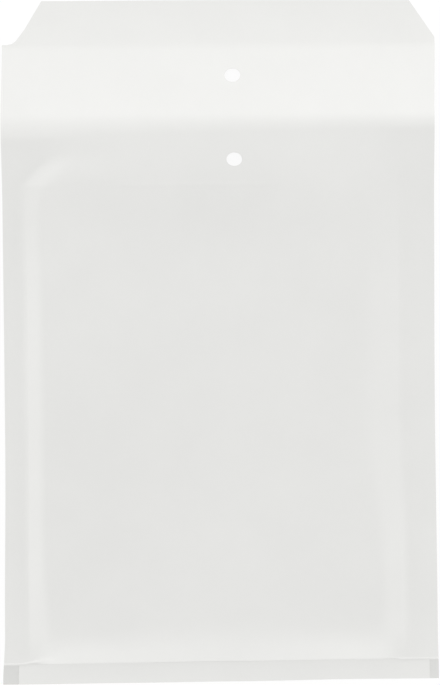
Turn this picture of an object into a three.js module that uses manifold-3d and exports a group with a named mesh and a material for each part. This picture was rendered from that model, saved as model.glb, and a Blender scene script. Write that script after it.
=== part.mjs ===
// A padded mailing envelope that lies on its mouth side, address side up, with its flap open.
// One folded paper sheet makes the pouch and the flap, a pouch of bubble film lines it, and a
// peel-off strip covers the glue on the hidden face of the flap.
// Millimetres, +Z up, +Y towards the flap. The origin is under the middle of the outline.
import * as THREE from 'three';
import { mergeVertices } from 'three/addons/utils/BufferGeometryUtils.js';
import Module from 'manifold-3d';

// Outline of the envelope, seen from above
const BODY_WIDTH = 171; // over the flat side folds at the bottom edge and at the crease
const BODY_LENGTH = 222.2; // bottom edge to flap crease
const FLAP_REACH = 46.2; // flap crease to flap tip
const SIDE_PULL = 0.8; // how far the padding draws each side in at mid length

// Paper and seams
const PAPER = 0.15; // one ply
const BOND = 0.02; // how far two glued plies sink into each other
const BOTTOM_SEAM = 7.3; // flat glued band along the bottom edge
const LIP_NOTCH_LEFT = 6.1; // corner left bare by the folded-over bottom lip
const LIP_NOTCH_RIGHT = 3.6;
const LIP_SHORT = 0.4; // lip edge below the foot of the padding

// Padding: two layers of bubble film and the pocket between them
const FILM = 2.4; // one layer of bubble film
const POCKET = 0.6; // slack between the two layers
const LINER_CLEARANCE = 0.3; // liner to paper
const LINER_MARGIN_LEFT = 9; // flat paper beside the padding
const LINER_MARGIN_RIGHT = 13.6;
const LINER_SET_BACK = 23.5; // liner top edge below the crease
const LINER_INSET = 1.8; // liner edge inside the foot of the paper shoulder
const LINER_CORNER = 10; // radius of the liner's corners in plan
const FILM_EDGE = 0.3; // least thickness of the welded film edge
const WELD = 6; // welded side and bottom border of the liner pouch
const SHOULDER_LEFT = 10.5; // width of the slope from seam to padding
const SHOULDER_RIGHT = 20;
const SHOULDER_BOTTOM = 16;

// Mouth and flap
const CREASE_HEIGHT = 5.8; // middle of the seam plies at the crease
const MOUTH_FALL = 34; // length over which the padding runs out towards the crease
const MOUTH_GAPE = 2.8; // sag of the free edge of the lower panel at its middle
const MOUTH_SHORT = 1; // free edge of the lower panel below the roll-over
const CREASE_BEND = 6; // length of paper that rolls over at the crease
const TIP_BAND = 18.2; // stiff outer band of the flap that carries the closing strip
const TIP_SLOPE = 0.035; // fall of that band per unit of length

// Die cut of the flap and the two punched holes
const TIP_WIDTH = 144.8; // straight tip edge
const DIE_OFFSET = 2.6; // die centre right of the envelope's centre
const CUT_DEPTH = 17.2; // corner cut along the envelope
const CUT_RUN = 11; // corner cut across the envelope
const CUT_ROUND = 3; // rounded foot of each corner cut
const HOLE_WIDTH = 6.2;
const HOLE_HEIGHT = 5.3;
const HOLE_FROM_CREASE = 16.6; // the holes meet when the flap is folded over
const HOLE_OFFSET = 6.1; // holes right of the envelope's centre

// Peel-off strip under the flap tip
const STRIP = 0.1; // thickness of the peel-off paper
const STRIP_WIDTH = 15;
const STRIP_INSET = 1.5; // strip edge behind the tip edge
const STRIP_SIDE_INSET = 1; // strip ends inside the flap's edges
const GLUE = 0.06; // glue film between flap and strip

// Fineness of the curved stretches
const SHOULDER_STEPS = 5;
const PLATEAU_STEPS = 6;
const MOUTH_STEPS = 7;
const BEND_STEPS = 4;
const HOLE_STEPS = 12;

const wasm = await Module();
wasm.setup();

// Places worked out from the sizes
const halfWidth = BODY_WIDTH / 2;
const bottomY = -(BODY_LENGTH + FLAP_REACH) / 2;
const creaseY = bottomY + BODY_LENGTH;
const tipY = creaseY + FLAP_REACH;
const seamY = bottomY + BOTTOM_SEAM;
const bendY = creaseY - CREASE_BEND / 2; // start of the roll-over
const mouthY = bendY - MOUTH_SHORT;
const bandY = tipY - TIP_BAND;
const mouthFallY = creaseY - MOUTH_FALL;
const linerTopY = creaseY - LINER_SET_BACK;
const linerLeft = -halfWidth + LINER_MARGIN_LEFT;
const linerRight = halfWidth - LINER_MARGIN_RIGHT;

// Heights worked out from the sizes
const halfThickness = PAPER + LINER_CLEARANCE + FILM + POCKET / 2;
const seamZ = halfThickness; // the seams lie level with the middle of the pocket
const ply = (PAPER - BOND) / 2; // middle of a seam ply above or below the seam
const rise = halfThickness - PAPER / 2 - ply;
const tipZ = STRIP + GLUE + PAPER / 2;
const bandFootZ = tipZ + TIP_SLOPE * TIP_BAND;
const flapSlope = (CREASE_HEIGHT + ply - bandFootZ) / (FLAP_REACH - TIP_BAND);

const clamp01 = (t) => Math.min(1, Math.max(0, t));
// Rises steeply from the seam and rolls over onto the level padding.
const shoulder = (t) => 1 - (1 - clamp01(t)) ** 2;

// Evenly spaced values from start to end, both included.
function spaced(start, end, steps) {
  return Array.from({ length: steps + 1 }, (_, i) => start + ((end - start) * i) / steps);
}

// Ascending lines of a grid without repeats.
function gridLines(...stretches) {
  const sorted = stretches.flat().sort((a, b) => a - b);
  return sorted.filter((line, i) => i === 0 || line - sorted[i - 1] > 1e-3);
}

// Share of the full padding height at a place, 0 on the seams and 1 on the level middle.
function padding(x, y) {
  const across = shoulder((x - linerLeft) / SHOULDER_LEFT) * shoulder((linerRight - x) / SHOULDER_RIGHT);
  return across * shoulder((y - seamY) / SHOULDER_BOTTOM);
}

// 0 over the padding and 1 where the crease rolls over.
const towardsCrease = (y) => THREE.MathUtils.smoothstep(y, mouthFallY, bendY);

const seamHeight = (y) => seamZ + (CREASE_HEIGHT - seamZ) * towardsCrease(y);

// Middle of the flap paper: rolls over the crease, runs down straight, then lies nearly flat.
function flapHeight(y) {
  const run = y - bendY;
  const start = CREASE_HEIGHT + ply;
  if (run < CREASE_BEND) return start - (flapSlope * run * run) / (2 * CREASE_BEND);
  if (y < bandY) return start - flapSlope * (run - CREASE_BEND / 2);
  return tipZ + TIP_SLOPE * (tipY - y);
}

// Middle of the upper panel, which runs on into the flap.
function upperHeight(x, y) {
  if (y > bendY) return flapHeight(y);
  return seamHeight(y) + ply + rise * (1 - towardsCrease(y)) * padding(x, y);
}

// Middle of the lower panel, which ends in the free edge of the mouth.
function lowerHeight(x, y) {
  const sag = rise + (MOUTH_GAPE - rise) * towardsCrease(y);
  return seamHeight(y) - ply - sag * padding(x, y);
}

// The sides are drawn in between the flat bottom seam and the crease.
function pulled(x, y) {
  const share = clamp01((y - seamY) / (creaseY - seamY));
  return x * (1 - (SIDE_PULL / halfWidth) * Math.sin(Math.PI * share));
}

// A closed sheet: a box of cells on the given grid lines, moulded between two height functions.
function mouldedSheet(columns, rows, topHeight, undersideHeight) {
  const sheet = new THREE.BoxGeometry(1, 1, 1, columns.length - 1, rows.length - 1, 1);
  const position = sheet.getAttribute('position');
  for (let i = 0; i < position.count; i++) {
    const x = columns[Math.round((position.getX(i) + 0.5) * (columns.length - 1))];
    const y = rows[Math.round((position.getY(i) + 0.5) * (rows.length - 1))];
    const height = position.getZ(i) > 0 ? topHeight : undersideHeight;
    position.setXYZ(i, pulled(x, y), y, height(x, y));
  }
  return sheet;
}

// A sheet of even thickness about a middle surface.
function evenSheet(columns, rows, middle, thickness) {
  return mouldedSheet(
    columns,
    rows,
    (x, y) => middle(x, y) + thickness / 2,
    (x, y) => middle(x, y) - thickness / 2,
  );
}

// A closed geometry as a solid that can be cut and joined.
function solid(geometry) {
  const bare = geometry.clone();
  bare.deleteAttribute('normal');
  bare.deleteAttribute('uv');
  const merged = mergeVertices(bare, 1e-4);
  const triVerts = merged.index.array;
  const vertProperties = merged.getAttribute('position').array;
  return new wasm.Manifold(
    new wasm.Mesh({
      numProp: 3,
      vertProperties: new Float32Array(vertProperties),
      triVerts: new Uint32Array(triVerts),
    }),
  );
}

// A solid as a named mesh.
function part(name, body, material) {
  const made = body.getMesh();
  const geometry = new THREE.BufferGeometry();
  geometry.setAttribute('position', new THREE.BufferAttribute(made.vertProperties, 3));
  geometry.setIndex(new THREE.BufferAttribute(made.triVerts, 1));
  const mesh = new THREE.Mesh(geometry.toNonIndexed(), material);
  mesh.geometry.computeVertexNormals();
  mesh.name = name;
  return mesh;
}

// A plan outline cut straight through the whole envelope.
function punch(outline) {
  const above = 4 * (halfThickness + CREASE_HEIGHT);
  const body = new THREE.ExtrudeGeometry(outline, {
    depth: 2 * above,
    bevelEnabled: false,
    curveSegments: HOLE_STEPS,
  });
  return solid(body.translate(0, 0, -above));
}

// Everything outside one corner cut of the flap; side is -1 on the left and 1 on the right.
function cornerCut(side, inset) {
  const beyond = BODY_WIDTH + TIP_WIDTH;
  const atTip = TIP_WIDTH / 2 - inset;
  const footY = tipY - CUT_DEPTH;
  const slant = CUT_RUN / CUT_DEPTH;
  const place = (x, y) => [DIE_OFFSET + side * x, y];
  const outline = new THREE.Shape();
  outline.moveTo(...place(atTip - slant * beyond, tipY + beyond));
  outline.lineTo(...place(atTip + slant * (CUT_DEPTH - CUT_ROUND), footY + CUT_ROUND));
  outline.quadraticCurveTo(
    ...place(atTip + CUT_RUN, footY),
    ...place(atTip + CUT_RUN + CUT_ROUND, footY),
  );
  outline.lineTo(...place(beyond, footY));
  outline.lineTo(...place(beyond, tipY + beyond));
  outline.closePath();
  return punch(outline);
}

function hole(y) {
  const outline = new THREE.Shape();
  outline.absellipse(HOLE_OFFSET, y, HOLE_WIDTH / 2, HOLE_HEIGHT / 2, 0, 2 * Math.PI, false, 0);
  return punch(outline);
}

// Grid columns that follow the two side shoulders of the padding.
const columns = gridLines(
  [-halfWidth, halfWidth],
  spaced(linerLeft, linerLeft + SHOULDER_LEFT, SHOULDER_STEPS),
  spaced(linerRight - SHOULDER_RIGHT, linerRight, SHOULDER_STEPS),
);
// Grid rows of the pouch up to a given end.
function pouchRows(endY) {
  return gridLines(
    [bottomY, endY],
    spaced(seamY, seamY + SHOULDER_BOTTOM, SHOULDER_STEPS),
    spaced(seamY + SHOULDER_BOTTOM, mouthFallY, PLATEAU_STEPS),
    spaced(mouthFallY, bendY, MOUTH_STEPS).filter((y) => y < endY),
  );
}
const flapRows = gridLines(
  spaced(bendY, bendY + CREASE_BEND, BEND_STEPS),
  [bandY, tipY],
);

// The folded paper sheet: upper panel with flap, lower panel, glued seams and the folded-over lip.
function paperEnvelope() {
  const upper = evenSheet(columns, gridLines(pouchRows(bendY), flapRows), upperHeight, PAPER);
  const lower = evenSheet(columns, pouchRows(mouthY), lowerHeight, PAPER);
  const lipLength = BOTTOM_SEAM - LIP_SHORT;
  const lipWidth = BODY_WIDTH - LIP_NOTCH_LEFT - LIP_NOTCH_RIGHT;
  const lip = new THREE.BoxGeometry(lipWidth, lipLength, PAPER);
  lip.translate((LIP_NOTCH_LEFT - LIP_NOTCH_RIGHT) / 2, bottomY + lipLength / 2, seamZ + ply + PAPER - BOND);
  return solid(upper)
    .add(solid(lower))
    .add(solid(lip))
    .subtract(cornerCut(-1, 0))
    .subtract(cornerCut(1, 0))
    .subtract(hole(creaseY + HOLE_FROM_CREASE))
    .subtract(hole(creaseY - HOLE_FROM_CREASE));
}

// Rounded rectangle in plan, as far inside the padding's outline as asked.
function linerPlan(inset, topY) {
  const [left, right] = [linerLeft + inset, linerRight - inset];
  const low = seamY + inset;
  const round = LINER_CORNER;
  const outline = new THREE.Shape();
  outline.moveTo(left + round, low);
  outline.lineTo(right - round, low);
  outline.absarc(right - round, low + round, round, -Math.PI / 2, 0, false);
  outline.lineTo(right, topY - round);
  outline.absarc(right - round, topY - round, round, 0, Math.PI / 2, false);
  outline.lineTo(left + round, topY);
  outline.absarc(left + round, topY - round, round, Math.PI / 2, Math.PI, false);
  outline.lineTo(left, low + round);
  outline.absarc(left + round, low + round, round, Math.PI, 1.5 * Math.PI, false);
  return outline;
}

// The bubble-film pouch: fills the paper pouch with a clearance, welded at its sides and bottom,
// and open at the top along a thin pocket.
function bubbleLiner() {
  const rows = pouchRows(mouthY);
  const room = (x, y) => {
    const top = upperHeight(x, y) - PAPER / 2 - LINER_CLEARANCE;
    const low = lowerHeight(x, y) + PAPER / 2 + LINER_CLEARANCE;
    return { middle: (top + low) / 2, half: Math.max((top - low) / 2, FILM_EDGE / 2) };
  };
  const middle = (x, y) => room(x, y).middle;
  const half = (x, y) => room(x, y).half;
  const [left, right] = [linerLeft + LINER_INSET, linerRight - LINER_INSET];
  const film = mouldedSheet(
    gridLines([left, right], columns.filter((x) => x > left && x < right)),
    gridLines([seamY + LINER_INSET], rows.filter((y) => y > seamY + LINER_INSET)),
    (x, y) => middle(x, y) + half(x, y),
    (x, y) => middle(x, y) - half(x, y),
  );
  const pocketColumns = columns.filter((x) => x >= linerLeft + WELD && x <= linerRight - WELD);
  const pocket = evenSheet(
    gridLines([linerLeft + WELD, linerRight - WELD], pocketColumns),
    gridLines([seamY + WELD], rows.filter((y) => y > seamY + WELD)),
    middle,
    POCKET,
  );
  return solid(film).intersect(punch(linerPlan(LINER_INSET, linerTopY))).subtract(solid(pocket));
}

// The peel-off strip over the glue, die cut with the flap.
function peelStrip() {
  const endY = tipY - STRIP_INSET;
  const strip = evenSheet(
    [-halfWidth + STRIP_SIDE_INSET, halfWidth - STRIP_SIDE_INSET],
    [endY - STRIP_WIDTH, endY],
    (x, y) => flapHeight(y) - PAPER / 2 - GLUE - STRIP / 2,
    STRIP,
  );
  return solid(strip).subtract(cornerCut(-1, STRIP_SIDE_INSET)).subtract(cornerCut(1, STRIP_SIDE_INSET));
}

const whitePaper = new THREE.MeshStandardMaterial({ color: 0xe6e6e3, roughness: 0.85, metalness: 0 });
const bubbleFilm = new THREE.MeshStandardMaterial({ color: 0xdfe5e8, roughness: 0.25, metalness: 0 });
const peelPaper = new THREE.MeshStandardMaterial({ color: 0xf0efe9, roughness: 0.45, metalness: 0 });

const envelope = new THREE.Group();
envelope.add(part('paper_envelope', paperEnvelope(), whitePaper));
envelope.add(part('bubble_liner', bubbleLiner(), bubbleFilm));
envelope.add(part('peel_strip', peelStrip(), peelPaper));

export default envelope;
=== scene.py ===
"""Dresses the padded envelope: its paper, its bubble liner, its peel-off strip and a plain studio.

Metres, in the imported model's frame: +Z up through the address side, +Y towards the flap.
"""

import math

import bmesh
import bpy
from bpy.props import FloatProperty, FloatVectorProperty, PointerProperty
from bpy.types import Operator, Panel, PropertyGroup
from mathutils import Matrix, Vector, noise


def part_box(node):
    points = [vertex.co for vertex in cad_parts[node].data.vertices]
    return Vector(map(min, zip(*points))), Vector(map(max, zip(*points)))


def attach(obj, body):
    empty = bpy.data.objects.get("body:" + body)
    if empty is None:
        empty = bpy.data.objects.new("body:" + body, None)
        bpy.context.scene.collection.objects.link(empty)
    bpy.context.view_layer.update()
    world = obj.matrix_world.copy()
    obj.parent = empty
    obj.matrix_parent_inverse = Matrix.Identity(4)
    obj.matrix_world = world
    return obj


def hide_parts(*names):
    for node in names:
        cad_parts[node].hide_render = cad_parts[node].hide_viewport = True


bl_info = {
    "name": "Padded envelope",
    "version": (1, 0, 0),
    "blender": (4, 5, 0),
    "location": "View3D > Sidebar > Envelope",
    "description": "Makes a bubble-lined paper envelope with an open flap, on a plain stage",
    "category": "Object",
}

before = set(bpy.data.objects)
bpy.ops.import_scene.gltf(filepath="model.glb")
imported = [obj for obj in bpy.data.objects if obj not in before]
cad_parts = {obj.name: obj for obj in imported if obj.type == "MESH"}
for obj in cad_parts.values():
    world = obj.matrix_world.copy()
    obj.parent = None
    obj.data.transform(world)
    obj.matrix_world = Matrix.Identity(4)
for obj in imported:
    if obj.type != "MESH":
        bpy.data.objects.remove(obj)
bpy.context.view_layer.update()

# Overall size of the paper, from its solid, and the part of its length that is flap.
WIDTH, LENGTH, THICKNESS = (round(high - low, 5) for low, high in zip(*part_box("paper_envelope")))
FLAP_REACH = 0.0462


def length(name, default, description):
    """A length that a user may set."""
    return FloatProperty(
        name=name, description=description, default=default, min=0.0, unit="LENGTH", precision=5
    )


def share(name, default, description):
    """A share from 0 to 1 that a user may set."""
    return FloatProperty(
        name=name, description=description, default=default, min=0.0, max=1.0, subtype="FACTOR"
    )


def brightness(name, default, description):
    """The brightness of a light."""
    return FloatProperty(name=name, description=description, default=default, min=0.0)


def colour(name, default, description):
    """A colour that a user may set."""
    return FloatVectorProperty(
        name=name, description=description, default=default, size=4, min=0.0, max=1.0, subtype="COLOR"
    )


class PaperSizes(PropertyGroup):
    """The folded paper sheet and the way it lies"""

    width: length("Width", WIDTH, "Width over the flat side folds")
    body_length: length("Body length", round(LENGTH - FLAP_REACH, 5), "Bottom edge to flap crease")
    flap_reach: length("Flap reach", FLAP_REACH, "Flap crease to flap tip, seen from above")
    ply: length("Paper", 0.00015, "Thickness of one ply")
    thickness: length("Padded thickness", THICKNESS, "Height of the padded middle")
    bottom_seam: length("Bottom seam", 0.0073, "Flat glued band along the bottom edge")
    notch_left: length("Left notch", 0.0061, "Corner left bare by the bottom lip on the left")
    notch_right: length("Right notch", 0.0036, "Corner left bare by the bottom lip on the right")
    lip_over: length("Lip overlap", 0.0006, "Edge of the bottom lip beyond the foot of the padding")
    margin_left: length("Left margin", 0.009, "Flat paper left of the padding")
    margin_right: length("Right margin", 0.0136, "Flat paper right of the padding")
    slope_left: length("Left slope", 0.0093, "Width of the slope up to the padding on the left")
    slope_right: length("Right slope", 0.0195, "Width of the slope up to the padding on the right")
    slope_bottom: length("Bottom slope", 0.0164, "Width of the slope up to the padding at the bottom")
    mouth_fall: length("Mouth fall", 0.034, "Length over which the padding runs out to the crease")
    mouth_gape: length("Mouth gape", 0.0028, "Sag of the free edge of the lower panel")
    mouth_short: length("Mouth short", 0.001, "Free edge of the lower panel below the roll-over")
    seam_run: length("Seam run", 0.09, "Length over which the side seams rise to the crease")
    crease_height: length("Crease height", 0.0058, "Height of the seam plies at the crease")
    film_weld: length("Film weld", 0.0268, "Line of the film's top weld in the paper, below the crease")
    droop: share("Droop", 0.045, "Mean fall of the flat edges, for each unit outwards")
    tip_band: length("Tip band", 0.0182, "Stiff outer band of the flap")
    tip_height: length("Tip height", 0.00031, "Upper face of the tip edge above the table")
    tip_fall: length("Tip fall", 0.00064, "How far the tip band comes down to the table")
    tip_width: length("Tip width", 0.1448, "Straight edge of the flap tip")
    die_offset: length("Die offset", 0.0026, "Centre of the flap's die cut right of the middle")
    cut_depth: length("Cut depth", 0.0172, "Corner cuts along the envelope")
    slant_left: share("Left slant", 0.605, "Run of the left corner cut across, for each unit along")
    slant_right: share("Right slant", 0.682, "Run of the right corner cut across, for each unit along")
    hole_width: length("Hole width", 0.0062, "Punched holes, across the envelope")
    hole_height: length("Hole height", 0.0053, "Punched holes, along the envelope")
    flap_hole_offset: length("Flap hole offset", 0.0057, "Flap hole right of the middle")
    flap_hole_reach: length("Flap hole reach", 0.0163, "Flap hole beyond the crease")
    body_hole_offset: length("Body hole offset", 0.0065, "Body hole right of the middle")
    body_hole_reach: length("Body hole reach", 0.0169, "Body hole before the crease")
    white: colour("Paper white", (0.82, 0.82, 0.803, 1.0), "Uncoated white of the paper")
    # Darker grey at the bottom corners that the lip leaves bare, paler on the right; its cause is not known.
    bare: colour("Bare corner", (0.72, 0.72, 0.705, 1.0), "Greyer single ply at the bottom corners")
    bare_right: share("Right corner tone", 0.82, "Share of that grey on the right, where it is paler")


class LinerSizes(PropertyGroup):
    """The bubble film inside"""

    clearance: length("Clearance", 0.0003, "Film to paper")
    set_back: length("Set-back", 0.0235, "Top edge of the film below the crease")
    inset: length("Inset", 0.0018, "Film edge inside the foot of the slope")
    weld: length("Weld", 0.006, "Border over which the pouch swells to its full height")
    film: length("Film", 0.00008, "Thickness of the film itself")
    bubble: length("Bubble", 0.0094, "Width of one bubble")
    pitch: length("Pitch", 0.0105, "Bubble to bubble")
    rise: length("Rise", 0.0022, "Height of one bubble")
    first_row: length("First row", 0.006, "Lowest row of bubbles above the film's edge")
    first_column: length("First column", 0.008, "First bubble right of the film's edge")
    tint: colour("Film tint", (0.86, 0.9, 0.92, 1.0), "Milky tint of the film")


class StripSizes(PropertyGroup):
    """The peel-off strip under the flap tip"""

    width: length("Width", 0.015, "Width of the strip")
    inset: length("Inset", 0.0015, "Strip edge behind the tip edge")
    side_inset: length("Side inset", 0.001, "Strip ends inside the edges of the flap")
    thickness: length("Thickness", 0.0001, "Peel-off paper")
    glue: length("Glue", 0.00006, "Glue film above the strip")
    tint: colour("Strip tint", (0.84, 0.83, 0.78, 1.0), "Faintly yellow release paper")


class StageLight(PropertyGroup):
    """The plain studio"""

    ambient: brightness("Ambient", 0.851, "Even light from all round")
    back: brightness("Back strip", 1.34, "Low strip light beyond the flap")
    left: brightness("Left strip", 0.28, "Low strip light on the left")
    front: brightness("Front strip", 0.62, "Low strip light before the bottom edge")
    right: brightness("Right strip", 0.28, "Low strip light on the right")
    roll: FloatProperty(
        name="Roll", description="Turn of the camera", default=math.radians(-0.5), subtype="ANGLE"
    )


def clamp(t):
    """Holds a share between 0 and 1."""
    return min(1.0, max(0.0, t))


def mix(a, b, t):
    """From a to b, by the share t."""
    return a + (b - a) * t


def ease(t):
    """Smooth rise from 0 to 1."""
    t = clamp(t)
    return t * t * (3.0 - 2.0 * t)


def after(place, start, run):
    """0 up to the start, then a smooth rise to 1 over the run."""
    return ease((place - start) / run)


def bell(place, middle, reach):
    """1 at the middle, falling away smoothly on both sides."""
    return math.exp(-(((place - middle) / reach) ** 2))


def waver(x, y, size, pitch, seed):
    """Slow unevenness of a size and a pitch; the seed picks one of many."""
    return size * noise.noise(Vector((x / pitch, y / pitch, seed)))


def shoulder(t, straight):
    """Rises straight from the foot of a slope, then rolls over onto the level padding."""
    t = clamp(t)
    if t < straight:
        return 2.0 * t / (1.0 + straight)
    return 1.0 - (1.0 - t) ** 2 / (1.0 - straight * straight)


def between(place, knots):
    """Smooth run through (place, value) knots given in rising order."""
    if place <= knots[0][0]:
        return knots[0][1]
    for (a, va), (b, vb) in zip(knots, knots[1:]):
        if place <= b:
            return mix(va, vb, after(place, a, b - a))
    return knots[-1][1]


# How the paper has settled, as its shading shows. Unless its comment says otherwise, a pair is the start
# and the run of a smooth change, or in a BELL a middle and a reach. A WAVER is a size, a pitch and a seed.

# The roll-over at the crease, at the left and at the right edge: its start before the crease, its width.
ROLL_START = (0.0085, 0.0046)
ROLL_WIDTH = (0.0098, 0.0053)

# Left foot of the padding: it leans in towards the bottom, stands out a trace, more so in the upper half,
# and turns in at the liner's top corner, with a step counted from the weld.
FOOT_LEAN = 0.0012
FOOT_LEAN_RUN = 0.12
FOOT_OUT = 0.0005
FOOT_OUT_ABOVE = 0.0004
FOOT_OUT_STEP = (0.02, 0.03)
CORNER_TURN = 0.011
CORNER_STEP = (-0.0015, 0.016)
FOOT_WAVER = (0.0005, 0.035, 3.3)

# How much wider the left slope is, as shares: in places, at the bottom (counted downwards from the middle)
# and at the top (counted from the weld).
LEFT_WAVER = (0.2, 0.05, 7.7)
LEFT_LOW = 0.3
LEFT_LOW_STEP = (0.09, 0.025)
LEFT_TOP = 0.4
LEFT_TOP_STEP = (-0.006, 0.01)

# The right slope is tighter in the lower half, counted downwards from the middle: its foot lies further
# out, and it is narrower.
RIGHT_TIGHT_STEP = (0.03, 0.06)
RIGHT_TIGHT_OUT = 0.0016
RIGHT_TIGHT = 0.34

# How much wider the bottom slope is, as shares: in places, and at its middle.
BOTTOM_WAVER = (0.3, 0.06, 4.4)
BOTTOM_MIDDLE = 0.36
BOTTOM_MIDDLE_BELL = (-0.002, 0.034)

# Straight share of the slopes before they roll over.
SIDE_STRAIGHT = 0.55
BOTTOM_STRAIGHT = 0.3

# The liner's left corner ends in a clearer step, counted from the crease. It is lost further in, counted
# from the left foot.
LINER_END_STEP = (-0.0257, 0.012)
LINER_CORNER_STEP = (0.024, 0.018)

# How the seams bend: rising to the crease, hanging at the sides, hanging at the bottom and by how much.
SEAM_RISE_POWER = 1.9
SIDE_HANG_POWER = 1.2
BOTTOM_HANG_POWER = 1.5
BOTTOM_HANG = 1.4

# The small step behind the lip's ends. The ends are counted from the feet of the padding, and the left one
# slants. The step has a height, and a rise and a fall counted from the seam.
LEFT_END_STEP = (0.009, 0.006)
RIGHT_END_STEP = (-0.006, 0.006)
LEFT_END_SLANT = 0.17
LEFT_END_LEAD = 0.002
LIP_STEP = 0.0002
LIP_STEP_RISE = (0.0005, 0.0007)
LIP_STEP_FALL = (0.002, 0.009)

# Faint raised lines of the film's weld, one long and one short at the left corner, and a sunk fold by the
# left edge.
WELD_LINE = 0.00003
WELD_LINE_START = (-0.046, 0.012)
WELD_LINE_END = (0.014, 0.016)
WELD_STUB = 0.00002
WELD_STUB_START = (0.0, 0.004)
WELD_STUB_END = (-0.068, 0.004)
WELD_LINE_REACH = 0.0009
EDGE_FOLD = 0.00003
EDGE_FOLD_BELL = (0.0013, 0.00035)

# Slope at the top of the flap, over its mean slope, and how the mouth's free edge bows.
FLAP_HOLLOW = 1.2
MOUTH_BOW_POWER = 1.5

# Slight unevenness of paper laid over film.
PAPER_WAVERS = ((0.00022, 0.055, 1.7), (0.00006, 0.022, 5.1), (0.000012, 0.009, 9.3))

# Painted shade: soft patches where the paper is painted a trace greyer to stand in for faint shading; middle
# across and along, reach across and along, share.
PAINTED_SHADE_PATCHES = (
    (-0.052, -0.070, 0.022, 0.050, 0.13),
    (0.052, -0.103, 0.026, 0.012, 0.08),
    (-0.010, 0.056, 0.064, 0.019, 0.21),
)

# Length over which the bottom seam's lack of square dies out.
SKEW_RUN = 0.04

# How the left corner cut flares at its foot: shares of its depth, down and further out. The right one is
# straight.
LEFT_FLARE = ((0.64, 0.0), (0.91, 0.04), (0.975, 0.09), (1.0, 0.19))
RIGHT_FLARE = ((1.0, 0.0),)


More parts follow.
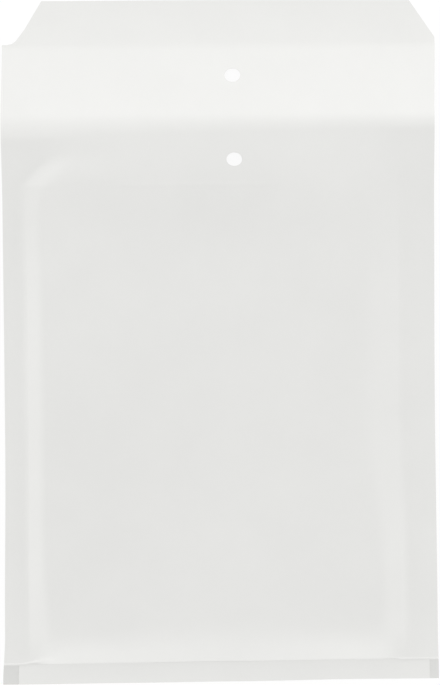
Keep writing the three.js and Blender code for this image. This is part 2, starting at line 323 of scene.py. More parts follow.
class PaperForm:
    """Where the paper lies: the heights of its two panels and its side edges."""

    def __init__(self, sizes):
        self.s = sizes
        self.half = sizes.width / 2
        self.bottom = -(sizes.body_length + sizes.flap_reach) / 2
        self.crease = self.bottom + sizes.body_length
        self.tip = self.crease + sizes.flap_reach
        self.seam = self.bottom + sizes.bottom_seam
        self.band = self.tip - sizes.tip_band
        self.fall = self.crease - sizes.mouth_fall
        self.weld = self.crease - sizes.film_weld
        self.flap_hole = (sizes.flap_hole_offset, self.crease + sizes.flap_hole_reach)
        self.body_hole = (sizes.body_hole_offset, self.crease - sizes.body_hole_reach)
        self.pad_left = -self.half + sizes.margin_left
        self.pad_right = self.half - sizes.margin_right
        self.middle = sizes.thickness / 2
        # Place along each side edge and its outward shift: the padding draws the edges in along the middle.
        self.left_shift = (
            (self.bottom, 0.0008),
            (self.seam + 0.012, -0.0001),
            (self.bottom + 0.09, -0.0008),
            (self.fall, -0.0006),
            (self.crease, -0.0002),
            (self.band, -0.0007),
        )
        self.right_shift = (
            (self.bottom, -0.0004),
            (self.seam + 0.012, -0.0007),
            (self.bottom + 0.11, -0.0011),
            (self.fall, -0.0008),
            (self.crease, -0.0004),
            (self.band, 0.0001),
        )
        # Place along the bottom edge and its shift: the seam was folded a little out of square.
        self.bottom_shift = (
            (-self.half, -0.0005),
            (-0.04, -0.0002),
            (0.008, 0.0001),
            (0.055, 0.0006),
            (self.half, 0.0006),
        )

    def bend(self, x):
        """Start and width of the roll-over at the crease, which is softer on the left."""
        t = clamp((x + self.half) / (2 * self.half))
        return self.crease - mix(*ROLL_START, t), mix(*ROLL_WIDTH, t)

    def left_foot(self, y):
        """Left foot of the padding: it wavers, leans in at the bottom and turns in at the top."""
        lean = FOOT_LEAN * clamp(-y / FOOT_LEAN_RUN) ** 2
        out = FOOT_OUT + FOOT_OUT_ABOVE * after(y, *FOOT_OUT_STEP)
        corner = CORNER_TURN * after(y - self.weld, *CORNER_STEP)
        return self.pad_left + lean - out + corner + waver(0.0, y, *FOOT_WAVER)

    def pad(self, x, y):
        """Share of the full padding height, 0 on the seams and 1 on the level middle."""
        s = self.s
        slack = waver(0.0, y, *LEFT_WAVER) + LEFT_LOW * after(-y, *LEFT_LOW_STEP)
        slack += LEFT_TOP * after(y - self.weld, *LEFT_TOP_STEP)
        left = (x - self.left_foot(y)) / (s.slope_left * (1.0 + slack))
        tight = after(-y, *RIGHT_TIGHT_STEP)
        right_foot = self.pad_right + RIGHT_TIGHT_OUT * tight
        right = (right_foot - x) / (s.slope_right * (1.0 - RIGHT_TIGHT * tight))
        full = waver(x, 0.0, *BOTTOM_WAVER) + BOTTOM_MIDDLE * bell(x, *BOTTOM_MIDDLE_BELL)
        low = (y - self.seam) / (s.slope_bottom * (1.0 + full))
        sides = shoulder(left, SIDE_STRAIGHT) * shoulder(right, SIDE_STRAIGHT)
        return sides * shoulder(low, BOTTOM_STRAIGHT)

    def fade(self, x, y):
        """0 over the padding and 1 at the crease; the liner's left corner ends in a clearer step."""
        start, _ = self.bend(x)
        slow = after(y, self.fall, start - self.fall)
        sharp = after(y - self.crease, *LINER_END_STEP)
        return mix(sharp, slow, after(x - self.pad_left, *LINER_CORNER_STEP))

    def seam_height(self, x, y):
        """Middle of the two plies of the seams: they hang, step up behind the lip, rise to the crease."""
        start, _ = self.bend(x)
        s = self.s
        foot = self.crease - s.seam_run
        top = clamp((y - foot) / (start - foot)) ** SEAM_RISE_POWER
        out = s.margin_left * clamp((self.pad_left - x) / s.margin_left) ** SIDE_HANG_POWER
        out += s.margin_right * clamp((x - self.pad_right) / s.margin_right) ** SIDE_HANG_POWER
        low = BOTTOM_HANG * s.bottom_seam * clamp((self.seam - y) / s.bottom_seam) ** BOTTOM_HANG_POWER
        hang = s.droop * (out * (1.0 - top) + low)
        return self.middle - hang + self.lip_step(x, y) + (s.crease_height - self.middle) * top

    def lip_step(self, x, y):
        """Small step of the paper behind the lip's two ends, slanted on the left."""
        left = 1.0 - after(x - self.pad_left, *LEFT_END_STEP)
        right = after(x - self.pad_right, *RIGHT_END_STEP)
        slant = LEFT_END_SLANT * left * max(0.0, x - self.pad_left + LEFT_END_LEAD)
        above = y - self.seam - slant
        rise = after(above, *LIP_STEP_RISE)
        fall = after(above, *LIP_STEP_FALL)
        return LIP_STEP * max(left, right) * rise * (1.0 - fall)

    def creases(self, x, y):
        """Faint lines: the film's top weld and a fold by the left edge."""
        line = WELD_LINE * (after(x, *WELD_LINE_START) - after(x, *WELD_LINE_END))
        stub = WELD_STUB * after(x - self.pad_left, *WELD_STUB_START) * (1.0 - after(x, *WELD_STUB_END))
        fold = EDGE_FOLD * bell(x + self.half, *EDGE_FOLD_BELL)
        return (line + stub) * bell(y, self.weld, WELD_LINE_REACH) - fold

    def flap(self, x, y):
        """Upper face of the flap: over the crease, down a slightly hollow run, onto the table."""
        s = self.s
        start, roll = self.bend(x)
        top = s.crease_height + s.ply
        foot = s.tip_height + s.tip_fall
        run = self.band - start - roll
        slope = FLAP_HOLLOW * (top - foot) / (run + roll / 2)
        u = y - start
        if u < roll:
            return top - slope * u * u / (2 * roll)
        if y < self.band:
            u -= roll
            turn = top - slope * roll / 2
            return turn - slope * u + (slope * run - turn + foot) * (u / run) ** 2
        left = (self.tip - y) / s.tip_band
        return s.tip_height + s.tip_fall * left * left

    def shade(self, x, y):
        """Share of painted shade in the soft patches, where the paper is painted greyer for faint shading.
        """
        return sum(
            depth * bell(x, across, wide) * bell(y, along, high)
            for across, along, wide, high, depth in PAINTED_SHADE_PATCHES
        )

    def upper(self, x, y):
        """Upper face of the upper panel and of the flap."""
        start, _ = self.bend(x)
        if y > start:
            return self.flap(x, y)
        s = self.s
        flat = self.seam_height(x, y) + s.ply
        fade = self.fade(x, y)
        full = mix(s.thickness, s.crease_height + s.ply, fade)
        pad = self.pad(x, y)
        soft = sum(waver(x, y, *w) for w in PAPER_WAVERS) * pad * (1.0 - fade)
        return mix(flat, full, pad) + soft + self.creases(x, y)

    def lower(self, x, y):
        """Underside of the lower panel: on the table under the padding, bowed down at the mouth."""
        start, _ = self.bend(x)
        flat = self.seam_height(x, y) - self.s.ply
        near_mouth = after(y, self.fall, start - self.fall)
        middle = (self.pad_left + self.pad_right) / 2
        reach = (self.pad_right - self.pad_left) / 2
        bow = clamp(1.0 - ((x - middle) / reach) ** 2) ** MOUTH_BOW_POWER
        return flat * (1.0 - self.pad(x, y) * (1.0 - near_mouth)) - self.s.mouth_gape * bow * near_mouth

    def place(self, x, y):
        """Plan place of a point of the flat sheet once its edges are drawn in."""
        left = -self.half - between(y, self.left_shift)
        right = self.half + between(y, self.right_shift)
        skew = between(x, self.bottom_shift) * (1.0 - after(y, self.bottom, SKEW_RUN))
        return mix(left, right, (x + self.half) / (2 * self.half)), y + skew


def stretch(start, *runs):
    """Grid lines from a start over joined runs, each given as its end and its wanted spacing."""
    lines = [start]
    for end, spacing in runs:
        start = lines[-1]
        steps = max(1, round((end - start) / spacing))
        lines += [start + (end - start) * (i + 1) / steps for i in range(steps)]
    return lines


def sheet_grid(columns, rows):
    """A flat sheet of cells on the given lines."""
    bm = bmesh.new()
    across, along = len(columns) - 1, len(rows) - 1
    bmesh.ops.create_grid(bm, x_segments=across, y_segments=along, size=1.0)
    for v in bm.verts:
        v.co.x = columns[round((v.co.x + 1.0) / 2.0 * across)]
        v.co.y = rows[round((v.co.y + 1.0) / 2.0 * along)]
    return bm


def punch_hole(bm, x, y, width, height):
    """Opens the block of cells over a hole and draws its rim round to an oval."""
    wide, high = width / 2, height / 2
    centres = ((f, f.calc_center_median()) for f in bm.faces)
    gone = [f for f, c in centres if abs(c.x - x) < wide and abs(c.y - y) < high]
    rim = list(dict.fromkeys(v for f in gone for v in f.verts))
    bmesh.ops.delete(bm, geom=gone, context="FACES")
    for v in rim:
        if v.is_valid:
            out = Vector(((v.co.x - x) / wide, (v.co.y - y) / high)).normalized()
            v.co.x, v.co.y = x + wide * out.x, y + high * out.y


# The faces that a corner cut looks at: this far out from the middle, and down to this far below its foot.
CORNER_FROM = 0.05
CORNER_BELOW = 0.004
CUT_TOLERANCE = 1e-7


def cut_corner(bm, side, form, inset):
    """Cuts one flap corner along its slant; side is -1 left, where the foot flares out, or 1 right."""
    s = form.s
    depth = s.cut_depth
    slant, flares = (s.slant_left, LEFT_FLARE) if side < 0 else (s.slant_right, RIGHT_FLARE)
    cut = [(0.0, 0.0)]
    for down, out in flares:
        cut.append((slant * depth * down + depth * out, -depth * down))
    start = Vector((s.die_offset + side * (s.tip_width / 2 - inset), form.tip, 0.0))
    points = [start + Vector((side * x, y, 0.0)) for x, y in cut]
    points.append(points[-1] + Vector((side * depth, 0.0, 0.0)))
    planes = []
    for here, there in zip(points, points[1:]):
        run = there - here
        planes.append((here, Vector((-side * run.y, side * run.x, 0.0)).normalized()))
    lowest = points[-1].y - CORNER_BELOW

    def corner():
        centres = ((f, f.calc_center_median()) for f in bm.faces)
        return [f for f, c in centres if side * c.x > CORNER_FROM and c.y > lowest]

    for point, out in planes:
        faces = corner()
        edges = dict.fromkeys(e for f in faces for e in f.edges)
        verts = dict.fromkeys(v for f in faces for v in f.verts)
        bmesh.ops.bisect_plane(
            bm, geom=[*faces, *edges, *verts], dist=CUT_TOLERANCE, plane_co=point, plane_no=out
        )
    gone = [f for f in corner() if all((f.calc_center_median() - p).dot(n) > 0 for p, n in planes)]
    bmesh.ops.delete(bm, geom=gone, context="FACES")


def lay(bm, form, height):
    """Moulds a flat sheet: draws its edges in and lifts each point to its height."""
    for v in bm.verts:
        x, y = v.co.x, v.co.y
        v.co = (*form.place(x, y), height(x, y))


def thicken(bm, thickness):
    """Turns a sheet to face up and gives it its thickness, downwards."""
    bmesh.ops.recalc_face_normals(bm, faces=bm.faces[:])
    if sum(f.normal.z for f in bm.faces) < 0:
        bmesh.ops.reverse_faces(bm, faces=bm.faces[:])
    bmesh.ops.solidify(bm, geom=bm.faces[:], thickness=thickness)


def joined(parts):
    """One bmesh from several."""
    whole = bmesh.new()
    for bm in parts:
        mesh = bpy.data.meshes.new("part")
        bm.to_mesh(mesh)
        bm.free()
        whole.from_mesh(mesh)
        bpy.data.meshes.remove(mesh)
    return whole


# Edges sharper than these stay crisp, in degrees.
PAPER_CRISP = 40.0
FILM_CRISP = 60.0


def finish_piece(context, bm, name, node, material, crisp=PAPER_CRISP):
    """Makes the object, smooths it except at its edges, gives it its material, hangs it on the root body and
    hides the solid that it stands for.
    """
    mesh = bpy.data.meshes.new(name)
    bm.to_mesh(mesh)
    bm.free()
    mesh.polygons.foreach_set("use_smooth", [True] * len(mesh.polygons))
    mesh.set_sharp_from_angle(angle=math.radians(crisp))
    mesh.materials.append(material)
    piece = bpy.data.objects.new(name, mesh)
    context.collection.objects.link(piece)
    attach(piece, "root")
    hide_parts(node)
    return piece


# The part of its range that a noise texture mostly uses.
NOISE_LOW = 0.3
NOISE_HIGH = 0.7

# A Mix node's colour sockets.
MIX_FIRST = 6
MIX_SECOND = 7
MIX_RESULT = 2


def paper_grain():
    """Node group: cloudy formation and fine fibre of paper."""
    group = bpy.data.node_groups.get("Paper grain")
    if group:
        return group
    group = bpy.data.node_groups.new("Paper grain", "ShaderNodeTree")
    scale = group.interface.new_socket(name="Fibre scale", in_out="INPUT", socket_type="NodeSocketFloat")
    scale.default_value = 2600.0
    group.interface.new_socket(name="Cloud", in_out="OUTPUT", socket_type="NodeSocketFloat")
    group.interface.new_socket(name="Fibre", in_out="OUTPUT", socket_type="NodeSocketFloat")
    nodes, links = group.nodes, group.links
    given = nodes.new("NodeGroupInput")
    made = nodes.new("NodeGroupOutput")
    place = nodes.new("ShaderNodeTexCoord")
    cloud = nodes.new("ShaderNodeTexNoise")
    cloud.inputs["Scale"].default_value = 45.0
    cloud.inputs["Detail"].default_value = 7.0
    cloud.inputs["Roughness"].default_value = 0.6
    fibre = nodes.new("ShaderNodeTexNoise")
    fibre.inputs["Detail"].default_value = 3.0
    fibre.inputs["Distortion"].default_value = 0.6
    links.new(place.outputs["Object"], cloud.inputs["Vector"])
    links.new(place.outputs["Object"], fibre.inputs["Vector"])
    links.new(given.outputs["Fibre scale"], fibre.inputs["Scale"])
    links.new(cloud.outputs["Fac"], made.inputs["Cloud"])
    links.new(fibre.outputs["Fac"], made.inputs["Fibre"])
    return group


def grained(name):
    """A material with the grain group placed, and its Principled shader."""
    material = bpy.data.materials.new(name)
    material.use_nodes = True
    nodes, links = material.node_tree.nodes, material.node_tree.links
    shader = nodes["Principled BSDF"]
    grain = nodes.new("ShaderNodeGroup")
    grain.node_tree = paper_grain()
    return material, nodes, links, shader, grain


def tone_ramp(nodes, links, source, tint, spread):
    """Colour that wanders a little about a tint."""
    ramp = nodes.new("ShaderNodeValToRGB")
    low, high = ramp.color_ramp.elements
    low.position, high.position = NOISE_LOW, NOISE_HIGH
    low.color = [c * (1.0 - spread) for c in tint[:3]] + [1.0]
    high.color = [min(1.0, c * (1.0 + spread)) for c in tint[:3]] + [1.0]
    links.new(source, ramp.inputs["Fac"])
    return ramp.outputs["Color"]


def bump(nodes, links, shader, source, distance, strength):
    """Fine relief of a surface."""
    node = nodes.new("ShaderNodeBump")
    node.inputs["Strength"].default_value = strength
    node.inputs["Distance"].default_value = distance
    links.new(source, node.inputs["Height"])
    links.new(node.outputs["Normal"], shader.inputs["Normal"])


def spread_value(nodes, links, source, target, low, high):
    """Feeds a socket with a value that wanders between two."""
    node = nodes.new("ShaderNodeMapRange")
    node.inputs["From Min"].default_value = NOISE_LOW
    node.inputs["From Max"].default_value = NOISE_HIGH
    node.inputs["To Min"].default_value = low
    node.inputs["To Max"].default_value = high
    links.new(source, node.inputs["Value"])
    links.new(node.outputs["Result"], target)


def paper_material(sizes):
    """Uncoated white paper, darker grey at the bottom corners that the lip leaves bare, with painted shade
    in soft greyer patches.
    """
    material, nodes, links, shader, grain = grained("Envelope paper")
    cloud, fibre = grain.outputs["Cloud"], grain.outputs["Fibre"]
    shader.inputs["Specular IOR Level"].default_value = 0.25
    white = tone_ramp(nodes, links, cloud, sizes.white, spread=0.01)
    bare = tone_ramp(nodes, links, cloud, sizes.bare, spread=0.012)
    # The grey attribute mixes in the bare corners' grey and the painted shade of the soft patches.
    where = nodes.new("ShaderNodeAttribute")
    where.attribute_name = "grey"
    mixed = nodes.new("ShaderNodeMix")
    mixed.data_type = "RGBA"
    links.new(where.outputs["Fac"], mixed.inputs["Factor"])
    links.new(white, mixed.inputs[MIX_FIRST])
    links.new(bare, mixed.inputs[MIX_SECOND])
    links.new(mixed.outputs[MIX_RESULT], shader.inputs["Base Color"])
    spread_value(nodes, links, fibre, shader.inputs["Roughness"], low=0.82, high=0.95)
    bump(nodes, links, shader, fibre, distance=0.00002, strength=0.35)
    return material


def film_material(sizes):
    """Glossy, milky polythene film."""
    material, nodes, links, shader, grain = grained("Bubble film")
    cloud, fibre = grain.outputs["Cloud"], grain.outputs["Fibre"]
    grain.inputs["Fibre scale"].default_value = 420.0
    shader.inputs["Specular IOR Level"].default_value = 0.5
    tint = tone_ramp(nodes, links, cloud, sizes.tint, spread=0.02)
    links.new(tint, shader.inputs["Base Color"])
    spread_value(nodes, links, cloud, shader.inputs["Roughness"], low=0.14, high=0.28)
    bump(nodes, links, shader, fibre, distance=0.00004, strength=0.3)
    return material


def strip_material(sizes):
    """Smooth siliconised paper."""
    material, nodes, links, shader, grain = grained("Release paper")
    cloud, fibre = grain.outputs["Cloud"], grain.outputs["Fibre"]
    grain.inputs["Fibre scale"].default_value = 1800.0
    tint = tone_ramp(nodes, links, cloud, sizes.tint, spread=0.012)
    links.new(tint, shader.inputs["Base Color"])
    spread_value(nodes, links, cloud, shader.inputs["Roughness"], low=0.34, high=0.46)
    bump(nodes, links, shader, fibre, distance=0.00001, strength=0.2)
    return material


# Bands of finer cells in the paper's grids: in from the left edge, before and after the seam, about the
# weld, and before and after the crease. A hole takes HOLE_CELLS cells each way.
EDGE_BAND = 0.0024
SEAM_BEFORE = 0.001
SEAM_AFTER = 0.002
WELD_BAND = 0.002
CREASE_BEFORE = 0.008
CREASE_AFTER = 0.006
HOLE_CELLS = 8

# Length over which the grey of the bare corners ends at the seam.
BARE_FADE = 0.0005

# The lower panel's hole lies this much nearer the crease than the upper one.
LOWER_HOLE_SHIFT = 0.00016

# The lip's ends are pressed down beside the padding, by this many plies: how far in from the left and the
# right foot, and where, counted from the seam. Elsewhere the lip lies this far above the ply below it.
LIP_PRESS = 1.25
LIP_PRESS_LEFT_STEP = (0.0, 0.003)
LIP_PRESS_RIGHT_STEP = (-0.004, 0.004)
LIP_PRESS_STEP = (-0.001, 0.0017)
LIP_CLEARANCE = 0.00003


class ENVELOPE_OT_paper(Operator):
    """Makes the folded paper sheet: both panels, the flap and the bottom lip"""

    bl_idname = "envelope.paper"
    bl_label = "Make paper envelope"

    def execute(self, context):
        sizes = context.scene.envelope_paper
        form = PaperForm(sizes)
        parts = [self.upper_panel(form), self.lower_panel(form), self.bottom_lip(form)]
        finish_piece(context, joined(parts), "mailer_paper", "paper_envelope", paper_material(sizes))
        return {"FINISHED"}

    def upper_panel(self, form):
        """The address side, which runs on into the flap, with both holes and the cut corners."""
        s = form.s
        wide, high = s.hole_width / 2, s.hole_height / 2
        middle = (form.flap_hole[0] + form.body_hole[0]) / 2
        columns = stretch(
            -form.half,
            (-form.half + EDGE_BAND, 0.0003),
            (form.pad_left, 0.0015),
            (form.pad_left + s.slope_left, 0.0008),
            (middle - wide, 0.002),
            (middle + wide, s.hole_width / HOLE_CELLS),
            (form.pad_right - s.slope_right, 0.002),
            (form.pad_right, 0.0012),
            (form.half, 0.0015),
        )
        rows = stretch(
            form.bottom,
            (form.seam - SEAM_BEFORE, 0.0012),
            (form.seam + SEAM_AFTER, 0.00025),
            (form.seam + s.slope_bottom, 0.0009),
            (form.fall, 0.002),
            (form.weld - WELD_BAND, 0.0013),
            (form.weld + WELD_BAND, 0.0004),
            (form.body_hole[1] - high, 0.0013),
            (form.body_hole[1] + high, s.hole_height / HOLE_CELLS),
            (form.crease - CREASE_BEFORE, 0.0013),
            (form.crease + CREASE_AFTER, 0.0008),
            (form.flap_hole[1] - high, 0.0014),
            (form.flap_hole[1] + high, s.hole_height / HOLE_CELLS),
            (form.band, 0.0014),
            (form.tip, 0.0015),
        )
        bm = sheet_grid(columns, rows)
        for hole in (form.flap_hole, form.body_hole):
            punch_hole(bm, *hole, s.hole_width, s.hole_height)
        for side in (-1, 1):
            cut_corner(bm, side, form, 0.0)
        # The grey attribute holds the darker grey of the bare bottom corners, paler on the right, and the
        # painted shade of the soft patches.
        grey = bm.verts.layers.float.new("grey")
        for v in bm.verts:
            bare = 1.0 - after(v.co.y, form.seam, BARE_FADE)
            bare *= 1.0 if v.co.x < 0.0 else s.bare_right
            v[grey] = max(bare, form.shade(v.co.x, v.co.y))
        lay(bm, form, form.upper)
        thicken(bm, s.ply)
        return bm

    def lower_panel(self, form):
        """The underside, up to its free edge at the mouth, with the body hole."""
        s = form.s
        wide, high = s.hole_width / 2, s.hole_height / 2
        x, y = form.body_hole[0], form.body_hole[1] + LOWER_HOLE_SHIFT
        start, _ = form.bend(0.0)
        columns = stretch(
            -form.half,
            (form.pad_left, 0.003),
            (form.pad_left + s.slope_left, 0.0012),
            (x - wide, 0.004),
            (x + wide, s.hole_width / HOLE_CELLS),
            (form.pad_right - s.slope_right, 0.004),
            (form.pad_right, 0.002),
            (form.half, 0.003),
        )
        rows = stretch(
            form.bottom,
            (form.seam - SEAM_BEFORE, 0.0024),
            (form.seam + SEAM_AFTER, 0.00025),
            (form.seam + s.slope_bottom, 0.0014),
            (form.fall, 0.004),
            (y - high, 0.002),
            (y + high, s.hole_height / HOLE_CELLS),
            (start - s.mouth_short, 0.002),
        )
        bm = sheet_grid(columns, rows)
        punch_hole(bm, x, y, s.hole_width, s.hole_height)
        bm.verts.layers.float.new("grey")
        lay(bm, form, lambda x, y: form.lower(x, y) + s.ply)
        thicken(bm, s.ply)
        return bm

    def bottom_lip(self, form):
        """The folded-over lip that closes the bottom, pressed down at its ends."""
        s = form.s
        columns = stretch(-form.half + s.notch_left, (form.half - s.notch_right, 0.002))
        rows = stretch(form.bottom, (form.seam - SEAM_BEFORE, 0.0012), (form.seam + s.lip_over, 0.0004))
        bm = sheet_grid(columns, rows)

        def height(x, y):
            left = 1.0 - after(x - form.pad_left, *LIP_PRESS_LEFT_STEP)
            right = after(x - form.pad_right, *LIP_PRESS_RIGHT_STEP)
            pressed = LIP_PRESS * max(left, right) * after(y - form.seam, *LIP_PRESS_STEP)
            return form.seam_height(x, y) + s.ply * (2.0 - pressed) + LIP_CLEARANCE

        lay(bm, form, height)
        thicken(bm, s.ply)
        bm.verts.layers.float.new("grey")
        return bm


# Cell size of the film's grids.
FILM_CELL = 0.003

# How a bubble is drawn up from its foot: share of its rise in each step, and its width after it.
BUBBLE_STEPS = ((0.6, 0.92), (0.4, 0.6))
BUBBLE_SIDES = 12

# Least half height of the pouch where a bubble fits, over the bubble's rise.
BUBBLE_ROOM = 1.1


class ENVELOPE_OT_liner(Operator):
    """Makes the bubble film pouch: two films welded at their edges, bubbles inwards"""

    bl_idname = "envelope.liner"
    bl_label = "Make bubble liner"

    def execute(self, context):
        form = PaperForm(context.scene.envelope_paper)
        liner = context.scene.envelope_liner
        parts = [self.film(form, liner, 1), self.film(form, liner, -1), *self.bubbles(form, liner)]
        piece = finish_piece(
            context, joined(parts), "mailer_bubble_liner", "bubble_liner", film_material(liner), FILM_CRISP
        )
        return {"FINISHED"}

    def plan(self, form, liner):
        """Left, right, lower and upper edge of the film."""
        return (
            form.left_foot(form.seam) + liner.inset,
            form.pad_right - liner.inset,
            form.seam + liner.inset,
            form.crease - liner.set_back,
        )

    def room(self, form, liner, x, y):
        """Middle and half height of the space between the two panels."""
        left, right, low, _ = self.plan(form, liner)
        top = form.upper(x, y) - form.s.ply - liner.clearance
        under = form.lower(x, y) + form.s.ply + liner.clearance
        edge = min(x - left, right - x, y - low)
        half = min((top - under) / 2, form.middle * shoulder(edge / liner.weld, SIDE_STRAIGHT))
        return (top + under) / 2, max(half, 0.0)

    def film(self, form, liner, side):
        """One film; side is 1 above or -1 below."""
        left, right, low, high = self.plan(form, liner)
        bm = sheet_grid(stretch(left, (right, FILM_CELL)), stretch(low, (high, FILM_CELL)))
        for v in bm.verts:
            middle, half = self.room(form, liner, v.co.x, v.co.y)
            v.co.z = middle + side * (half + liner.film / 2) + liner.film / 2
        thicken(bm, liner.film)
        return bm

    def bubbles(self, form, liner):
        """Bubbles in staggered rows on both films, where the pouch is high enough all round them."""
        left, right, low, high = self.plan(form, liner)
        r = liner.bubble / 2
        row_pitch = liner.pitch * math.sqrt(3) / 2
        made = []
        for j in range(int((high - low) / row_pitch) + 1):
            y = low + liner.first_row + j * row_pitch
            x = left + liner.first_column + (j % 2) * liner.pitch / 2
            while x < right:
                round_it = ((x, y), (x - r, y), (x + r, y), (x, y - r), (x, y + r))
                middle, _ = self.room(form, liner, x, y)
                half = min(self.room(form, liner, *p)[1] for p in round_it)
                if y < high - r and half > liner.rise * BUBBLE_ROOM:
                    for side in (-1, 1):
                        made.append(self.bubble(liner, x, y, middle + side * half, -side))
                x += liner.pitch
        return made

    def bubble(self, liner, x, y, z, way):
        """One closed, flat-topped bubble with its foot in the film: a ring drawn up and in by steps."""
        bm = bmesh.new()
        base = Vector((x, y, z - way * liner.film / 2))
        ring = bmesh.ops.create_circle(
            bm,
            cap_ends=True,
            segments=BUBBLE_SIDES,
            radius=liner.bubble / 2,
            matrix=Matrix.Translation(base),
        )["verts"]
        foot = next(f for f in ring[0].link_faces if len(f.verts) == len(ring))
        top, wide = foot, 1.0
        for rise, width in BUBBLE_STEPS:
            made = bmesh.ops.extrude_face_region(bm, geom=[top])["geom"]
            if top is not foot:
                bmesh.ops.delete(bm, geom=[top], context="FACES_ONLY")
            top = next(g for g in made if isinstance(g, bmesh.types.BMFace))
            bmesh.ops.translate(bm, vec=(0.0, 0.0, way * liner.rise * rise), verts=top.verts[:])
            narrower = Vector((width / wide, width / wide, 1.0))
            bmesh.ops.scale(bm, vec=narrower, space=Matrix.Translation(-base), verts=top.verts[:])
            wide = width
        bmesh.ops.recalc_face_normals(bm, faces=bm.faces[:])
        return bm


# Cell size of the strip's grid, across and along the envelope.
STRIP_CELLS = (0.003, 0.0015)


class ENVELOPE_OT_peel_strip(Operator):
    """Makes the peel-off strip under the flap tip"""

    bl_idname = "envelope.peel_strip"
    bl_label = "Make peel-off strip"

    def execute(self, context):
        form = PaperForm(context.scene.envelope_paper)
        strip = context.scene.envelope_strip
        side, end = form.half - strip.side_inset, form.tip - strip.inset
        across, along = STRIP_CELLS
        bm = sheet_grid(stretch(-side, (side, across)), stretch(end - strip.width, (end, along)))
        for corner in (-1, 1):
            cut_corner(bm, corner, form, strip.side_inset)
        lay(bm, form, lambda x, y: form.flap(x, y) - form.s.ply - strip.glue)
        thicken(bm, strip.thickness)
        finish_piece(context, bm, "mailer_peel_strip", "peel_strip", strip_material(strip))
        return {"FINISHED"}


# The floor, a trace below the envelope: its half size, cells and depth, its grey for the light that it sends
# back, and its grey and glow as the camera sees it.
FLOOR_HALF = 6.0
FLOOR_CELLS = 8
FLOOR_DEPTH = 0.0003
FLOOR_GREY = 0.9
FLOOR_SEEN_GREY = 0.06
FLOOR_SEEN_GLOW = 0.95
PLAIN_WHITE = (1.0, 1.0, 1.0, 1.0)

# The strip lights: their length and width, their places and the point that they aim at.
STRIP_LIGHT_SIZE = (0.7, 0.06)
STRIP_LIGHT_PLACES = {
    "back": (0.0, 0.44, 0.05),
    "left": (-0.40, -0.02, 0.05),
    "front": (0.0, -0.44, 0.05),
    "right": (0.40, -0.02, 0.05),
}
STRIP_LIGHT_AIM = (0.0, 0.0, 0.01)

# The camera looks straight down, and one pixel of the view is this wide on the table.
VIEW_PIXELS_HIGH = 685
PIXEL = 0.000394
CAMERA_PLACE = (0.00012, -0.00083, 1.5)
SENSOR = 36.0


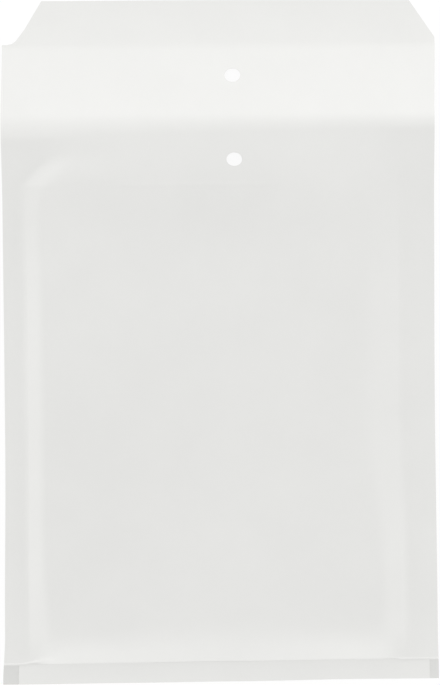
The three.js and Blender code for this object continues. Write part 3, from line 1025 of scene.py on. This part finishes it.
class ENVELOPE_OT_stage(Operator):
    """Makes the floor, the soft light and the camera"""

    bl_idname = "envelope.stage"
    bl_label = "Make stage"

    def execute(self, context):
        scene = context.scene
        light = scene.envelope_stage
        self.floor(context)
        self.world(scene, light)
        for name, place in STRIP_LIGHT_PLACES.items():
            self.strip_light(context, f"{name}_strip", place, getattr(light, name))
        self.camera(context, light)
        scene.view_settings.view_transform = "Standard"
        return {"FINISHED"}

    def floor(self, context):
        """A plain pale floor."""
        bm = bmesh.new()
        bmesh.ops.create_grid(bm, x_segments=FLOOR_CELLS, y_segments=FLOOR_CELLS, size=FLOOR_HALF)
        bmesh.ops.translate(bm, vec=(0.0, 0.0, -FLOOR_DEPTH), verts=bm.verts[:])
        mesh = bpy.data.meshes.new("stage_floor")
        bm.to_mesh(mesh)
        bm.free()
        mesh.materials.append(self.floor_material())
        floor = bpy.data.objects.new("stage_floor", mesh)
        context.collection.objects.link(floor)

    def floor_material(self):
        """Pale and matt to the light, nearly white with a faint shadow to the camera."""
        material = bpy.data.materials.new("Stage white")
        material.use_nodes = True
        nodes, links = material.node_tree.nodes, material.node_tree.links
        nodes.clear()
        lit = nodes.new("ShaderNodeBsdfDiffuse")
        lit.inputs["Color"].default_value = (FLOOR_GREY, FLOOR_GREY, FLOOR_GREY, 1.0)
        shade = nodes.new("ShaderNodeBsdfDiffuse")
        shade.inputs["Color"].default_value = (FLOOR_SEEN_GREY, FLOOR_SEEN_GREY, FLOOR_SEEN_GREY, 1.0)
        glow = nodes.new("ShaderNodeEmission")
        glow.inputs["Strength"].default_value = FLOOR_SEEN_GLOW
        seen = nodes.new("ShaderNodeAddShader")
        links.new(shade.outputs[0], seen.inputs[0])
        links.new(glow.outputs[0], seen.inputs[1])
        out = nodes.new("ShaderNodeOutputMaterial")
        self.split_by_ray(nodes, links, lit, seen, out)
        return material

    def world(self, scene, light):
        """Even soft light, plain white to the camera."""
        world = bpy.data.worlds.new("Soft studio")
        scene.world = world
        world.use_nodes = True
        nodes, links = world.node_tree.nodes, world.node_tree.links
        nodes.clear()
        soft = nodes.new("ShaderNodeBackground")
        soft.inputs["Color"].default_value = PLAIN_WHITE
        soft.inputs["Strength"].default_value = light.ambient
        plain = nodes.new("ShaderNodeBackground")
        plain.inputs["Color"].default_value = PLAIN_WHITE
        out = nodes.new("ShaderNodeOutputWorld")
        self.split_by_ray(nodes, links, soft, plain, out)

    def split_by_ray(self, nodes, links, lighting, seen, out):
        """Shows one shader to the camera, reflections and glass, and lights the scene by the other."""
        path = nodes.new("ShaderNodeLightPath")
        first = nodes.new("ShaderNodeMath")
        first.operation = "MAXIMUM"
        links.new(path.outputs["Is Camera Ray"], first.inputs[0])
        links.new(path.outputs["Is Glossy Ray"], first.inputs[1])
        both = nodes.new("ShaderNodeMath")
        both.operation = "MAXIMUM"
        links.new(first.outputs[0], both.inputs[0])
        links.new(path.outputs["Is Transmission Ray"], both.inputs[1])
        mixed = nodes.new("ShaderNodeMixShader")
        links.new(both.outputs[0], mixed.inputs["Fac"])
        links.new(lighting.outputs[0], mixed.inputs[1])
        links.new(seen.outputs[0], mixed.inputs[2])
        links.new(mixed.outputs[0], out.inputs["Surface"])

    def strip_light(self, context, name, place, power):
        """One low strip light, which the camera doesn't see."""
        data = bpy.data.lights.new(name, "AREA")
        data.shape = "RECTANGLE"
        data.size, data.size_y = STRIP_LIGHT_SIZE
        data.energy = power
        lamp = bpy.data.objects.new(name, data)
        lamp.location = place
        aim = Vector(STRIP_LIGHT_AIM) - Vector(place)
        lamp.rotation_euler = aim.to_track_quat("-Z", "Y").to_euler()
        lamp.visible_camera = False
        context.collection.objects.link(lamp)

    def camera(self, context, light):
        """A camera straight above, with the lens that gives the view its scale."""
        data = bpy.data.cameras.new("camera")
        camera = bpy.data.objects.new("camera", data)
        context.collection.objects.link(camera)
        data.sensor_width = SENSOR
        data.lens = SENSOR * CAMERA_PLACE[2] / (VIEW_PIXELS_HIGH * PIXEL)
        camera.location = CAMERA_PLACE
        camera.rotation_euler = (0.0, 0.0, light.roll)
        context.scene.camera = camera


class ENVELOPE_PT_panel(Panel):
    """Lists the steps that make the envelope"""

    bl_idname = "ENVELOPE_PT_panel"
    bl_label = "Padded envelope"
    bl_space_type = "VIEW_3D"
    bl_region_type = "UI"
    bl_category = "Envelope"

    def draw(self, context):
        for step in STEPS:
            self.layout.operator(step.bl_idname)
        for group in GROUPS:
            column = self.layout.column(align=True)
            settings = getattr(context.scene, group)
            for name in settings.__annotations__:
                column.prop(settings, name)


STEPS = (ENVELOPE_OT_paper, ENVELOPE_OT_liner, ENVELOPE_OT_peel_strip, ENVELOPE_OT_stage)
GROUPS = {
    "envelope_paper": PaperSizes,
    "envelope_liner": LinerSizes,
    "envelope_strip": StripSizes,
    "envelope_stage": StageLight,
}
CLASSES = (*GROUPS.values(), *STEPS, ENVELOPE_PT_panel)


def register():
    for cls in CLASSES:
        bpy.utils.register_class(cls)
    for name, group in GROUPS.items():
        setattr(bpy.types.Scene, name, PointerProperty(type=group))


def unregister():
    for name in GROUPS:
        delattr(bpy.types.Scene, name)
    for cls in reversed(CLASSES):
        bpy.utils.unregister_class(cls)


def main():
    register()
    bpy.ops.envelope.stage()
    bpy.ops.envelope.paper()
    bpy.ops.envelope.liner()
    bpy.ops.envelope.peel_strip()


if __name__ == "__main__":
    main()
